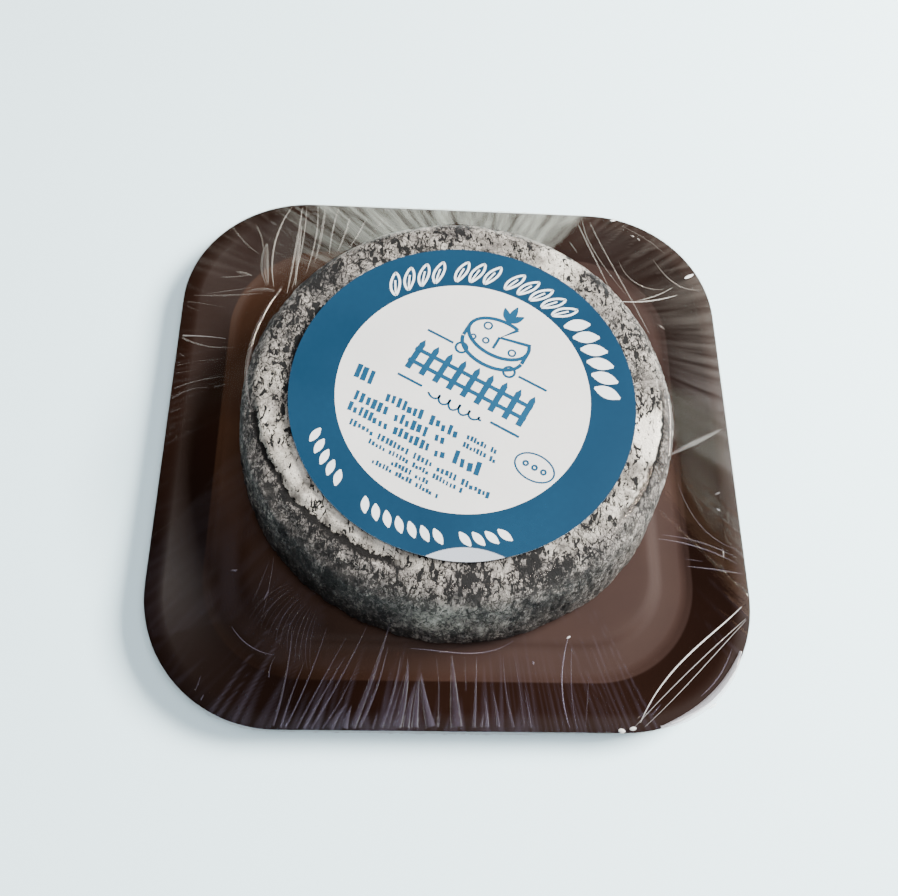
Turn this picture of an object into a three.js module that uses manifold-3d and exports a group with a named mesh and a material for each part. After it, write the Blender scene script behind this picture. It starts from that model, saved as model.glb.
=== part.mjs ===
// Ash-rinded goat's cheese: a small round wheel on a moulded plastic tray, wrapped together in
// clear stretch film, with a round paper label on top. Millimetres, +Z up. The origin is on the
// surface that the pack rests on, under the middle of the tray.

import * as THREE from 'three';
import { ConvexGeometry } from 'three/addons/geometries/ConvexGeometry.js';
import { mergeVertices } from 'three/addons/utils/BufferGeometryUtils.js';
import Module from 'manifold-3d';

const wasm = await Module();
wasm.setup();

// Cheese wheel: slumped a little, so it is widest near its foot.
const wheelDiameter = 91.6;
const wheelHeight = 21.2;
const wheelTaper = 3.0;
const footRadius = 3.5;
const shoulderRadius = 4.5;
const wheelCentre = new THREE.Vector2(0.6, 2.0);

// Tray: one sheet, formed with a lip, a sloping wall, a flat floor and a low raised panel.
const sheet = 0.5;
const panelHeight = 0.7;
const panelOverhang = 2.4;
const panelDraft = 0.6;
const panelCorner = 16;
const floorLedge = 5.1;
const floorCorner = 20.5;
const wallRun = 8.5;
const wallHeight = 5.4;
const lipWidth = 3.0;
const trayCorner = 27.4;

// Stretch film: taut from the wheel's shoulder to the lip, and tucked under the tray.
const filmThickness = 0.3;
const ventDiameter = 10;

// Label: a round of coated paper on the film.
const labelDiameter = 68.2;
const labelThickness = 0.3;
const labelCentre = new THREE.Vector2(1.0, 1.5);

// Pieces that touch are held this far apart.
const gap = 0.3;

// Faceting, each an even number of steps. A path gives an arc twice the divisions it is asked for.
const roundSegments = 80;
const cornerSegments = 12;
const bendSegments = 4;
const overcut = 1;

// Heights, from the surface up.
const trayBase = filmThickness + gap;
const floorTop = trayBase + sheet;
const panelTop = floorTop + panelHeight;
const lipTop = floorTop + wallHeight;
const wheelBase = panelTop + gap;
const wheelTop = wheelBase + wheelHeight;
const labelBase = wheelTop + gap + filmThickness + gap;

// The tray is sized outwards from the wheel that stands on it.
const panelSide = wheelDiameter - 2 * panelOverhang;
const floorSide = panelSide + 2 * floorLedge;
const hollowSide = floorSide + 2 * wallRun;
const traySide = hollowSide + 2 * lipWidth;

const wheelRadius = wheelDiameter / 2;
const topEdgeRadius = wheelRadius - wheelTaper;
const bendRadius = topEdgeRadius - shoulderRadius;
const bendHeight = wheelTop - shoulderRadius;

const degrees = THREE.MathUtils.degToRad;

function materialOf(color, roughness, metalness = 0) {
	return new THREE.MeshStandardMaterial({ color, roughness, metalness });
}

function solidOf(geometry) {
	geometry.deleteAttribute('normal');
	geometry.deleteAttribute('uv');
	const merged = mergeVertices(geometry, 1e-4);
	return new wasm.Manifold(new wasm.Mesh({
		numProp: 3,
		vertProperties: new Float32Array(merged.attributes.position.array),
		triVerts: new Uint32Array(merged.index.array),
	}));
}

function geometryOf(solid) {
	const { vertProperties, triVerts } = solid.getMesh();
	const geometry = new THREE.BufferGeometry();
	geometry.setAttribute('position', new THREE.BufferAttribute(vertProperties, 3));
	geometry.setIndex(new THREE.BufferAttribute(triVerts, 1));
	geometry.computeVertexNormals();
	return geometry;
}

function meshOf(name, geometry, material) {
	const mesh = new THREE.Mesh(geometry, material);
	mesh.name = name;
	return mesh;
}

// A square with rounded corners, centred on the axis, as points at one height.
function squareRing(side, corner, z) {
	const reach = side / 2 - corner;
	const outline = new THREE.Shape();
	outline.absarc(reach, reach, corner, 0, degrees(90));
	outline.absarc(-reach, reach, corner, degrees(90), degrees(180));
	outline.absarc(-reach, -reach, corner, degrees(180), degrees(270));
	outline.absarc(reach, -reach, corner, degrees(270), degrees(360));
	outline.closePath();
	return outline.getPoints(cornerSegments / 2).map((p) => new THREE.Vector3(p.x, p.y, z));
}

function roundRing(centre, radius, z) {
	const outline = new THREE.EllipseCurve(centre.x, centre.y, radius, radius);
	return outline.getPoints(roundSegments).map((p) => new THREE.Vector3(p.x, p.y, z));
}

// The convex block between a lower and an upper ring.
function block(...rings) {
	return solidOf(new ConvexGeometry(rings.flat()));
}

// Directions of a bend from one angle to another, as a unit run and rise.
function bend(fromAngle, toAngle) {
	return Array.from({ length: bendSegments + 1 }, (_, i) => {
		const angle = degrees(THREE.MathUtils.lerp(fromAngle, toAngle, i / bendSegments));
		return { run: Math.cos(angle), rise: Math.sin(angle) };
	});
}

function cheeseWheel() {
	const profile = new THREE.Path();
	profile.moveTo(0, wheelBase);
	profile.lineTo(wheelRadius - footRadius, wheelBase);
	profile.absarc(wheelRadius - footRadius, wheelBase + footRadius, footRadius, degrees(-90), 0);
	profile.absarc(bendRadius, bendHeight, shoulderRadius, 0, degrees(90));
	profile.lineTo(0, wheelTop);
	const geometry = new THREE.LatheGeometry(profile.getPoints(bendSegments / 2), roundSegments);
	geometry.rotateX(degrees(90));
	geometry.translate(wheelCentre.x, wheelCentre.y, 0);
	return meshOf('cheese_wheel', geometry, materialOf('#b9b5ab', 0.85));
}

function tray() {
	const lip = block(
		squareRing(traySide, trayCorner, lipTop - sheet),
		squareRing(traySide, trayCorner, lipTop),
	);
	const hollowCorner = trayCorner - lipWidth;
	const dish = block(
		squareRing(floorSide, floorCorner, trayBase),
		squareRing(hollowSide, hollowCorner, lipTop - sheet),
		squareRing(hollowSide, hollowCorner, lipTop),
	);
	const hollow = block(
		squareRing(floorSide, floorCorner, floorTop),
		squareRing(hollowSide, hollowCorner, lipTop),
		squareRing(hollowSide, hollowCorner, lipTop + overcut),
	);
	const panel = block(
		squareRing(panelSide, panelCorner, trayBase),
		squareRing(panelSide, panelCorner, floorTop),
		squareRing(panelSide - 2 * panelDraft, panelCorner - panelDraft, panelTop),
	);
	const underSide = panelSide - 2 * sheet;
	const underCorner = panelCorner - sheet;
	const underPanel = block(
		squareRing(underSide, underCorner, trayBase - overcut),
		squareRing(underSide, underCorner, trayBase),
		squareRing(underSide - 2 * panelDraft, underCorner - panelDraft, trayBase + panelHeight),
	);
	const sheetSolid = dish.add(lip).subtract(hollow).add(panel).subtract(underPanel);
	return meshOf('tray', geometryOf(sheetSolid), materialOf('#3f2318', 0.32));
}

// The taut outer form of wheel and tray together, grown outwards evenly.
function wrappedForm(growth) {
	const rings = [];
	for (const { run, rise } of bend(0, 90)) {
		const radius = shoulderRadius + growth;
		rings.push(roundRing(wheelCentre, bendRadius + radius * run, bendHeight + radius * rise));
	}
	for (const { run, rise } of bend(-60, 60)) {
		const edge = rise < 0 ? lipTop - sheet : lipTop;
		rings.push(squareRing(traySide + 2 * growth * run, trayCorner + growth * run, edge + growth * rise));
	}
	for (const { run, rise } of bend(-90, 0)) {
		rings.push(squareRing(floorSide + 2 * growth * run, floorCorner + growth * run, trayBase + growth * rise));
	}
	return block(...rings);
}

// The film's edges meet under the tray, round a small vent.
function stretchFilm() {
	const vent = new THREE.CylinderGeometry(ventDiameter / 2, ventDiameter / 2, 2 * overcut, roundSegments / 2);
	vent.rotateX(degrees(90));
	const skin = wrappedForm(gap + filmThickness).subtract(wrappedForm(gap));
	const film = skin.subtract(solidOf(vent));
	return meshOf('stretch_film', geometryOf(film), materialOf('#c9c6c2', 0.12));
}

function label() {
	const radius = labelDiameter / 2;
	const geometry = new THREE.CylinderGeometry(radius, radius, labelThickness, roundSegments);
	geometry.rotateX(degrees(90));
	geometry.translate(labelCentre.x, labelCentre.y, labelBase + labelThickness / 2);
	return meshOf('label', geometry, materialOf('#35739a', 0.4));
}

const wheelPack = new THREE.Group();
wheelPack.add(tray());
wheelPack.add(cheeseWheel());
wheelPack.add(stretchFilm());
wheelPack.add(label());

export default wheelPack;
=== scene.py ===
import math
import random
from functools import partial

import bpy
import numpy as np
from mathutils import Matrix, Vector, noise
from mathutils.bvhtree import BVHTree


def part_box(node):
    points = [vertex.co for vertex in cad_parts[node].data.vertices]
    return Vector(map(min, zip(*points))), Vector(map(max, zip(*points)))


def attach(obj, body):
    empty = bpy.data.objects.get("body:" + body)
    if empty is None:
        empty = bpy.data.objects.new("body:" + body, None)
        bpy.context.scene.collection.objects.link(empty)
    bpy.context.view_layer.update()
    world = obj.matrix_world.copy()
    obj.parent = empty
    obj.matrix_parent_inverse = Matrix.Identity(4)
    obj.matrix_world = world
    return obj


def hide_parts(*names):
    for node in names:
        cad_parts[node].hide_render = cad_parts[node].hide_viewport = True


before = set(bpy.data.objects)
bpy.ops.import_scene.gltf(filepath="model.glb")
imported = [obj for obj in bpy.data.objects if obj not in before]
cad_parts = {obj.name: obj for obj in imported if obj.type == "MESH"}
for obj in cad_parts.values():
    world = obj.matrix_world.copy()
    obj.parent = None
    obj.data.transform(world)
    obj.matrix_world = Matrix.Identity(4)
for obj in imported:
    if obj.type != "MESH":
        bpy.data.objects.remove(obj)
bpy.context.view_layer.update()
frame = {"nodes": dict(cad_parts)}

mm = 0.001
print("frame loaded:", ", ".join(frame["nodes"]))


# small helpers

def toLinear(hexText, alpha=1.0):
    values = [int(hexText[i:i + 2], 16) / 255 for i in (1, 3, 5)]
    return tuple(v / 12.92 if v <= 0.04045 else ((v + 0.055) / 1.055) ** 2.4 for v in values) + (alpha,)


def addNode(tree, kind, values=(), stops=(), **settings):
    # values go to inputs by order or by name: numbers, hex colours, or nodes and sockets to link
    node = tree.nodes.new("ShaderNode" + kind)
    for key, value in settings.items():
        setattr(node, key, value)
    for key, value in values.items() if isinstance(values, dict) else enumerate(values):
        if isinstance(value, bpy.types.Node):
            value = next(socket for socket in value.outputs if socket.enabled)
        if isinstance(value, bpy.types.NodeSocket):
            tree.links.new(value, node.inputs[key])
        else:
            node.inputs[key].default_value = toLinear(value) if isinstance(value, str) else value
    if stops:
        elements = node.color_ramp.elements
        while len(elements) < len(stops):
            elements.new(0.5)
        for element, (place, color) in zip(elements, stops):
            element.position = place
            element.color = toLinear(color)
    return node


def newMaterial(name):
    # an empty material, and what adds nodes to it
    material = bpy.data.materials.new(name)
    material.use_nodes = True
    material.node_tree.nodes.clear()
    return material, partial(addNode, material.node_tree)


def calm():
    # object mode with nothing selected
    if bpy.context.object and bpy.context.object.mode != "OBJECT":
        bpy.ops.object.mode_set(mode="OBJECT")
    bpy.ops.object.select_all(action="DESELECT")


def pick(piece, faceTest=None, edgeTest=None):
    # select in edit mode by place and normal
    bpy.ops.object.mode_set(mode="EDIT")
    bpy.ops.mesh.select_mode(type="FACE" if faceTest else "EDGE")
    bpy.ops.mesh.select_all(action="DESELECT")
    bpy.ops.object.mode_set(mode="OBJECT")
    mesh = piece.data
    if faceTest:
        for face in mesh.polygons:
            face.select = bool(faceTest(face.center, face.normal))
    else:
        for edge in mesh.edges:
            ends = [mesh.vertices[i].co for i in edge.vertices]
            edge.select = bool(edgeTest(*ends))
    bpy.ops.object.mode_set(mode="EDIT")


def applyModifier(piece, kind, **settings):
    modifier = piece.modifiers.new(kind.lower(), kind)
    for key, value in settings.items():
        setattr(modifier, key, value)
    bpy.context.view_layer.objects.active = piece
    bpy.ops.object.modifier_apply(modifier=modifier.name)


def activate(piece):
    piece.select_set(True)
    bpy.context.view_layer.objects.active = piece


def settle(piece):
    # the piece's place goes into its mesh
    calm()
    activate(piece)
    bpy.ops.object.transform_apply(location=True, rotation=True, scale=True)


def joinAll(pieces, into):
    calm()
    for piece in pieces:
        piece.select_set(True)
    activate(into)
    bpy.ops.object.join()


def openAll():
    # edit mode with everything selected
    bpy.ops.object.mode_set(mode="EDIT")
    bpy.ops.mesh.select_all(action="SELECT")


def pointsOf(mesh, field="co"):
    values = np.empty(len(mesh.vertices) * 3)
    mesh.vertices.foreach_get(field, values)
    return values.reshape(-1, 3)


def movePoints(mesh, points):
    # to places given in mm
    mesh.vertices.foreach_set("co", (points * mm).ravel())
    mesh.update()


def addLayer(mesh, name, values):
    # a number or a vector for every point, read by the materials
    kind, field = ("FLOAT_VECTOR", "vector") if values.ndim > 1 else ("FLOAT", "value")
    layer = mesh.attributes.new(name, kind, "POINT")
    layer.data.foreach_set(field, values.astype(np.float32).ravel())


def finishPiece(piece, name, material, slot, *nodes):
    settle(piece)
    piece.name = name
    piece.data.name = name
    if material:
        piece.data.materials.clear()
        piece.data.materials.append(material)
    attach(piece, "root")
    if nodes:
        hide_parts(*nodes)
    return piece


def middleOf(node):
    low, high = (Vector(corner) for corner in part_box(node))
    return (low + high) / 2, high - low


def smooth(value, low, high):
    t = np.clip((np.asarray(value, dtype=float) - low) / (high - low), 0, 1)
    return t * t * (3 - 2 * t)


# camera, lights and the surface under the pack

camera = {
    "turn": -7.99,      # degrees round from the front
    "height": 65.47,    # degrees above the surface
    "roll": 8.82,
    "distance": 201.4,
    "target": (-0.73, -2.11, 6.5),
    "lens": 38.22,
}


def addCamera():
    calm()
    turn, height = math.radians(camera["turn"]), math.radians(camera["height"])
    back = Vector((math.sin(turn) * math.cos(height), -math.cos(turn) * math.cos(height), math.sin(height)))
    target = Vector(camera["target"]) * mm
    bpy.ops.object.camera_add(location=target + back * camera["distance"] * mm)
    eye = bpy.context.object
    eye.name = "camera"
    aim = back.to_track_quat("Z", "Y").to_matrix() @ Matrix.Rotation(math.radians(camera["roll"]), 3, "Z")
    eye.rotation_euler = aim.to_euler()
    eye.data.lens = camera["lens"]
    eye.data.sensor_width = 36
    eye.data.clip_start = 0.01
    bpy.context.scene.camera = eye


lights = {
    # where it stands (mm), what it faces (mm), width and depth (mm), radiance, tint
    "key": ((502, 135, 468), (0, 0, 0), (300, 300), 92, "#FFFDF8"),
    "overhead": ((62, -152, 740), (0, 0, 0), (420, 300), 15.5, "#FAFBFF"),
    "rightCard": ((890, 430, 190), (0, 0, 190), (760, 380), 1.6, "#FFDFC0"),
    "backCard": ((-60, 900, 420), (0, 0, 20), (1100, 300), 1.2, "#FFF6EE"),
}


def addLights():
    for name, (place, aim, size, radiance, tint) in lights.items():
        calm()
        direction = (Vector(aim) - Vector(place)).normalized()
        bpy.ops.object.light_add(type="AREA", location=Vector(place) * mm)
        lamp = bpy.context.object
        lamp.name = name
        lamp.rotation_euler = direction.to_track_quat("-Z", "Y").to_euler()
        lamp.data.shape = "RECTANGLE"
        lamp.data.size, lamp.data.size_y = size[0] * mm, size[1] * mm
        lamp.data.energy = radiance * math.pi * size[0] * size[1] * mm * mm
        lamp.data.color = toLinear(tint)[:3]
    world = bpy.data.worlds.new("softRoom")
    world.use_nodes = True
    backdrop = world.node_tree.nodes["Background"]
    backdrop.inputs["Color"].default_value = toLinear("#F3F1F0")
    backdrop.inputs["Strength"].default_value = 0.06
    bpy.context.scene.world = world


def addFloor():
    calm()
    bpy.ops.mesh.primitive_plane_add(size=6, location=(0, 0, -0.0001))
    floor = bpy.context.object
    floor.name = "floor"
    material, node = newMaterial("pale_matt_table")
    shader = node("BsdfPrincipled", {"Base Color": "#DAF5FD", "Roughness": 0.8, "Specular IOR Level": 0.2})
    node("OutputMaterial", {"Surface": shader})
    floor.data.materials.append(material)


addCamera()
addLights()
addFloor()
print("camera, lights and floor")


# tray: one sheet of chocolate-brown plastic, formed over a mould

tray = {
    "corner": 27.4,
    "lipWidth": 3.0,
    "wallRun": 8.5,
    "floorLedge": 5.1,
    "panelHeight": 0.7,
    "panelDraft": 1.8,
    "sheet": 0.5,
    "bend": 0.9,        # radius that the mould leaves at each fold
    # floor, then walls: the two tones it is mottled in at the left, then at the right; the left ones and the
    # floor's are paler, as painted light
    "tones": ((("#3B261A", "#432D1F"), ("#2A1E1B", "#2F221E")),
              (("#1D0F08", "#22120A"), ("#150905", "#190C07"))),
    "toneRuns": (-45, 10),      # from the left tones to the right ones
    "toneRises": (1.95, 2.15),  # from the floor's tones to the walls'
    # painted shade, darkest in two corners: which way, from, to, how dark
    "cornerShade": (((-12.0, -12.0, 0), 0.5, 1.0, 0.95), ((-10.0, 12.0, 0), 0.48, 0.85, 0.55)),
}


def trayMaterial():
    # thermoformed PET: softly glossy and mottled, with light and shade painted into its colour
    material, node = newMaterial("thermoformed_brown_plastic")
    place = node("TexCoord").outputs["Object"]
    axes = node("SeparateXYZ", [place]).outputs
    cloud = node("TexNoise", {"Vector": place, "Scale": 60, "Detail": 3})
    # painted light: paler at the left, where the wheel shades the tray, and paler on the floor than on the
    # walls
    across = node("MapRange", [axes["X"]] + [end * mm for end in tray["toneRuns"]])
    rise = node("MapRange", [axes["Z"]] + [end * mm for end in tray["toneRises"]])
    tones = []
    for ends in tray["tones"]:
        left, right = [node("ValToRGB", [cloud], [(0.3, low), (0.7, high)]) for low, high in ends]
        tones.append(node("Mix", {0: across, 6: left, 7: right}, data_type="RGBA"))
    tone = node("Mix", {0: rise, 6: tones[0], 7: tones[1]}, data_type="RGBA")
    # painted shade: two corners of the sheet darken toward near black
    cornerShade = []
    for toward, start, end, most in tray["cornerShade"]:
        far = node("VectorMath", [place, toward], operation="DOT_PRODUCT").outputs["Value"]
        cornerShade.append(node("MapRange", [far, start, end, 0.0, most]))
    cornerShade = node("Math", cornerShade, operation="MAXIMUM")
    tone = node("Mix", {0: cornerShade, 6: tone, 7: "#070201"}, data_type="RGBA")
    grain = node("TexNoise", {"Vector": place, "Scale": 2500, "Detail": 2})
    gloss = node("MapRange", {0: grain, "To Min": 0.45, "To Max": 0.55})
    bump = node("Bump", {"Height": grain, "Strength": 0.08, "Distance": 0.05 * mm})
    shader = node("BsdfPrincipled", {"Base Color": tone, "Roughness": gloss, "IOR": 1.5,
                                     "Specular IOR Level": 0.05, "Normal": bump})
    node("OutputMaterial", {"Surface": shader})
    return material


def makeTray():
    middle, size = middleOf("tray")
    side, lipTop = size.x, middle.z + size.z / 2
    hollowSide = side - 2 * tray["lipWidth"] * mm
    floorSide = hollowSide - 2 * tray["wallRun"] * mm
    drop = size.z - tray["sheet"] * mm
    calm()
    bpy.ops.mesh.primitive_plane_add(size=side, location=(middle.x, middle.y, lipTop))
    piece = bpy.context.object
    openAll()
    bpy.ops.mesh.bevel(offset=tray["corner"] * mm, segments=24, affect="VERTICES")
    bpy.ops.mesh.select_all(action="SELECT")
    bpy.ops.mesh.inset(thickness=tray["lipWidth"] * mm)
    bpy.ops.mesh.extrude_region_move(TRANSFORM_OT_translate={"value": (0, 0, -drop)})
    scale = floorSide / hollowSide
    bpy.ops.transform.resize(value=(scale, scale, 1), center_override=(0, 0, 0))
    bpy.ops.mesh.inset(thickness=tray["floorLedge"] * mm)
    bpy.ops.mesh.extrude_region_move(TRANSFORM_OT_translate={"value": (0, 0, tray["panelHeight"] * mm)})
    panelSide = floorSide - 2 * tray["floorLedge"] * mm
    scale = 1 - 2 * tray["panelDraft"] * mm / panelSide
    bpy.ops.transform.resize(value=(scale, scale, 1), center_override=(0, 0, 0))
    bpy.ops.mesh.inset(thickness=2 * mm)
    bpy.ops.object.mode_set(mode="OBJECT")
    applyModifier(piece, "BEVEL", width=tray["bend"] * mm, segments=4, limit_method="ANGLE",
                  angle_limit=math.radians(12), use_clamp_overlap=True)
    applyModifier(piece, "SOLIDIFY", thickness=tray["sheet"] * mm, offset=-1, use_even_offset=True)
    applyModifier(piece, "BEVEL", width=0.12 * mm, segments=2, limit_method="ANGLE",
                  angle_limit=math.radians(60))
    bpy.ops.object.shade_smooth_by_angle(angle=math.radians(35))
    return finishPiece(piece, "formed_tray", trayMaterial(), "tray_plastic", "tray")


makeTray()
print("tray")


# cheese wheel: hand-moulded, drained and rolled in ash, so its rind is wrinkled, pitted and mottled

wheel = {
    "taper": 3.0,
    "foot": 3.5,
    "shoulder": 4.5,
    "voxel": 0.54,
    "wobble": 0.55,         # how far the outline strays from round
    "lumps": (9.0, 0.22),   # size and depth of the slow swells
    "wrinkle": (1.5, 0.42), # spacing and depth of the creases that drainage leaves down the side
    "pits": (1.1, 0.30),
    "crustStray": 0.7,      # how ragged the edge of the white crust is
    "crack": (0.62, 1.0),   # half width and depth of the break beside it
    "step": 0.7,            # how far the side stands back from the crust
}

# where ash lies thick: angle round the wheel, distance from its axis or height on its side, spread, strength
ashTop = [(92, 41, 9, 0.46), (72, 41, 6, 0.36), (112, 41, 6, 0.42), (138, 40, 7, 0.95), (152, 42, 4, 0.5),
          (45, 42, 5, 0.60), (30, 42, 4, 0.40), (-88, 38.5, 6, 0.72), (-70, 38.5, 5, 0.75),
          (-20, 41, 4, 0.3), (178, 42, 5, 0.35)]
# where the crust is clean: angle, distance from the axis, spread, how much
clean = [(-10, 37.5, 4.2, 1.3), (-18, 38, 3, 0.8), (-152, 36, 3.6, 0.5), (-138, 35.5, 3.6, 0.4),
         (-125, 35, 3.2, 0.45), (-113, 34.5, 3, 0.6), (-166, 37.5, 4, 0.4), (176, 38, 4, 0.2),
         (55, 40, 5, 0.6), (-95, 47, 5, 0.25), (58, 37, 3.5, 0.4)]
# down the side: angle, how much; these mix ash with painted light and shade, set round the side by how the
# light falls on it
sideAshAndShade = [(-180, 0.50), (-165, 0.48), (-150, 0.50), (-135, 0.60), (-120, 0.60), (-105, 0.38), (-90, 0.30),
           (-78, 0.36), (-66, 0.72), (-55, 0.48), (-35, 0.30), (-20, 0.42), (0, 0.40), (45, 0.45),
           (90, 0.5), (135, 0.55), (180, 0.52)]
# darker toward the foot, most at the front left, and ash thinly over the whole top
footDarkening = [(-180, 0.5), (-150, 0.8), (-130, 0.95), (-112, 0.9), (-95, 0.6), (-75, 0.55), (-45, 0.45),
           (180, 0.5)]
ashOver = [(-180, 0.34), (-140, 0.10), (-110, 0.12), (-85, 0.34), (-60, 0.26), (-40, 0.20), (-20, 0.12),
           (0, 0.30), (20, 0.34), (60, 0.26), (90, 0.30), (120, 0.34), (145, 0.38), (165, 0.36),
           (180, 0.34)]
# where the side's ash begins, measured over the shoulder, and how gradually
ashFrom = [(-180, 42.5), (-168, 40.5), (-158, 39.4), (-105, 37.0), (-95, 36.6), (-60, 37.6), (-35, 38.8),
           (-5, 41), (10, 43), (60, 44.5), (90, 42), (120, 43), (180, 42.5)]
ashSpread = [(-180, 2.0), (-165, 0.8), (-105, 0.6), (-90, 1.4), (-60, 1.6), (-35, 1.0), (0, 1.5), (40, 3),
             (180, 2.0)]
# where the white top crust ends: angle, distance from the axis
crustAt = [(-180, 41.5), (-168, 40.6), (-155, 39.2), (-145, 38.4), (-135, 37.7), (-122, 36.8),
           (-112, 36.0), (-100, 35.3), (-85, 35.5), (-60, 37.0), (-40, 38.8), (-15, 40.5), (10, 41),
           (180, 41.5)]
# how clearly the crust's edge shows: angle, how much
crustBreak = [(-180, 0.25), (-172, 0.7), (-160, 1.0), (-130, 1.0), (-112, 0.9), (-104, 0.25), (-60, 0.15),
              (-42, 0.4), (-30, 0.9), (-12, 0.9), (0, 0.8), (12, 0.3), (40, 0.15), (90, 0.1), (150, 0.15),
              (180, 0.25)]


def byAngle(table, angles):
    places, values = zip(*table)
    return np.interp(angles, places, values)


def noiseOver(points, size, octaves=3, offset=0.0):
    # 0 in the middle, about -1 to 1; size is the distance between swells in mm
    shift = Vector((offset, offset * 0.37, -offset * 0.61))
    return np.array([noise.fractal(Vector(p) / size + shift, 1.0, 2.0, octaves) for p in points])


def rindMaterial():
    # bloomy ash-coated rind: matt and chalky, cream where mould has grown over the grey ash
    material, node = newMaterial("ash_coated_bloomy_rind")
    place = node("VectorMath", {0: node("TexCoord").outputs["Object"], "Scale": 1 / mm}, operation="SCALE")
    # the ash amount mixes ash with painted light and shade round the side
    ashAndShade, rim, side, crust = [node("Attribute", attribute_name=name).outputs["Fac"]
                             for name in ("ashAndShade", "rim", "side", "crust")]
    # creases and drainage lines run down the side, and flecks lie every way
    upright = node("Mapping", {"Vector": place, "Scale": (1, 1, 0.30)})
    running = node("Mapping", {"Vector": place, "Scale": (1, 1, 0.10)})
    lying = []
    for turn in (35, -48, 80):
        lying.append(node("Mapping", {"Vector": place, "Rotation": (0, 0, math.radians(turn)),
                                      "Scale": (1, 0.5, 0.75)}))
    # patterns: distance between swells in mm, detail, roughness, distortion, what they follow
    patterns = {
        "grain": (0.35, 5, 0.7, 0, place),
        "bloom": (4.0, 6, 0.62, 0, place),
        "weave": (1.5, 7, 0.72, 0.4, upright),
        "ragged": (1.1, 4, 0.65, 0, place),
        "islands": (3.4, 9, 0.74, 0.9, upright),
        "charcoal": (0.7, 6, 0.75, 0, place),
        "patchy": (6.5, 2, 0.55, 0, place),
        "longFlecks": (1.25, 3, 0.6, 0.8, lying[0]),
        "flecks": (0.85, 3, 0.6, 0.8, lying[1]),
        "fineFlecks": (0.5, 3, 0.6, 0.8, lying[2]),
        "spots": (1.9, 3, 0.55, 1.1, place),
        "runs": (0.55, 3, 0.6, 0.3, running),
        "drift": (2.0, 4, 0.5, 0, place),
        "dried": (5.5, 2, 0.55, 0, place),
    }
    for name, (size, detail, roughness, distortion, source) in patterns.items():
        patterns[name] = node("TexNoise", {"Vector": source, "Scale": 1 / size, "Detail": detail,
                                           "Roughness": roughness, "Distortion": distortion})

    bloom = node("ValToRGB", [patterns["bloom"]], [(0.38, "#7F7C76"), (0.50, "#ACA9A0"), (0.60, "#D2CFC5")])
    bloom = node("Mix", {0: node("MapRange", [ashAndShade, 0.0, -0.3]), 6: bloom, 7: "#EEEBE0"}, data_type="RGBA")
    skin = node("ValToRGB", [patterns["weave"]], [(0.36, "#4C4B49"), (0.50, "#7D7A77"), (0.64, "#B2AEA7")])
    sooty = node("ValToRGB", [patterns["weave"]], [(0.36, "#1B1C1D"), (0.50, "#474747"), (0.64, "#83817D")])
    skin = node("Mix", {0: node("MapRange", [ashAndShade, 0.45, 0.95]), 6: skin, 7: sooty}, data_type="RGBA")
    aged = node("Mix", {0: node("MapRange", [ashAndShade, 0.15, 0.40]), 6: bloom, 7: skin}, data_type="RGBA")
    # the crust breaks off in a ragged line with a dark split under it
    ragged = node("Math", [patterns["ragged"], 3.0, -1.5], operation="MULTIPLY_ADD")
    ragged = node("Math", [rim, ragged], operation="ADD")
    bare = node("Math", [node("MapRange", [ragged, 0.0, 0.12]), crust], operation="MULTIPLY")
    aged = node("Mix", {0: bare, 6: aged, 7: skin}, data_type="RGBA")
    split = [node("MapRange", [ragged, -0.12, 0.05]), node("MapRange", [ragged, 2.0, 1.1])]
    split = node("Math", [node("Math", split, operation="MULTIPLY"), crust], operation="MULTIPLY")
    # charcoal shows through in ragged islands
    cover = node("Math", [ashAndShade, 0.6], operation="MINIMUM")
    cover = node("Math", [cover, 0.17, patterns["islands"]], operation="MULTIPLY_ADD")
    cover = node("Math", [node("MapRange", [cover, 0.635, 0.66]), 0.9], operation="MULTIPLY")
    charcoal = node("ValToRGB", [patterns["charcoal"]],
                    [(0.38, "#101112"), (0.52, "#2C2D2F"), (0.66, "#6E6D6B")])
    tone = node("Mix", {0: cover, 6: aged, 7: charcoal}, data_type="RGBA")
    # short flecks, closer together where ash is thick
    dense = node("Math", [patterns["patchy"], 0.22, -0.11], operation="MULTIPLY_ADD")
    dense = node("Math", [ashAndShade, 0.115, dense], operation="MULTIPLY_ADD")
    marks = []
    for name, least in (("longFlecks", 0.605), ("flecks", 0.615), ("fineFlecks", 0.625)):
        mark = node("Math", [patterns[name], dense], operation="ADD")
        marks.append(node("MapRange", [mark, least - 0.008, least + 0.012]))
    # hair-thin outlines of old mould spots
    contour = node("Math", [patterns["spots"], 0.5], operation="SUBTRACT")
    contour = node("MapRange", [node("Math", [contour], operation="ABSOLUTE"), 0.016, 0.004])
    contour = node("Math", [contour, node("MapRange", [ashAndShade, 0.10, 0.35])], operation="MULTIPLY")
    marks.append(node("Math", [contour, 0.8], operation="MULTIPLY"))
    # drainage lines down the side
    runs = node("Math", [node("MapRange", [patterns["runs"], 0.54, 0.64]), side], operation="MULTIPLY")
    marks.append(node("Math", [runs, 0.5], operation="MULTIPLY"))
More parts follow.
